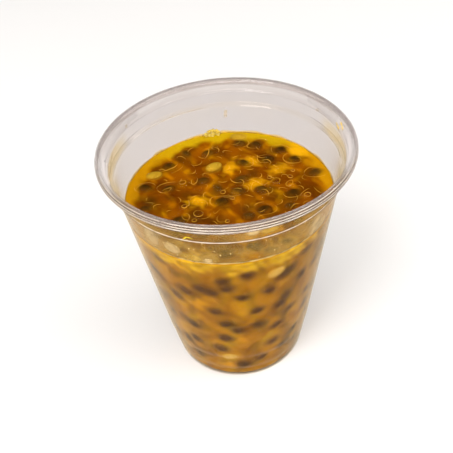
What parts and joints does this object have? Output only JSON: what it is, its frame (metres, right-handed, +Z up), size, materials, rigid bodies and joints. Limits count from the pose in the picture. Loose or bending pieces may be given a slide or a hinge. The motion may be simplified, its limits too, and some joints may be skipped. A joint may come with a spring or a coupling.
{
  "type": "cup of passion fruit pulp",
  "caption": "Clear tapered disposable cup with a rolled rim, filled most of the way with amber passion fruit pulp and dark seeds.",
  "frame": {"origin": "middle of the foot ring, on the surface that the cup stands on", "axes": "+Z up along the cup's axis, -Y towards the viewer, +X to the viewer's right"},
  "size_m": [0.098, 0.098, 0.106],
  "materials": {
    "cup": "clear, thin and glossy, with faint streaks of juice",
    "pulp": "wet amber juice, yellow at the edge, with dark and pale seeds"
  },
  "bodies": {
    "root": {"cup": "cup", "pulp": "pulp"}
  },
  "joints": []
}
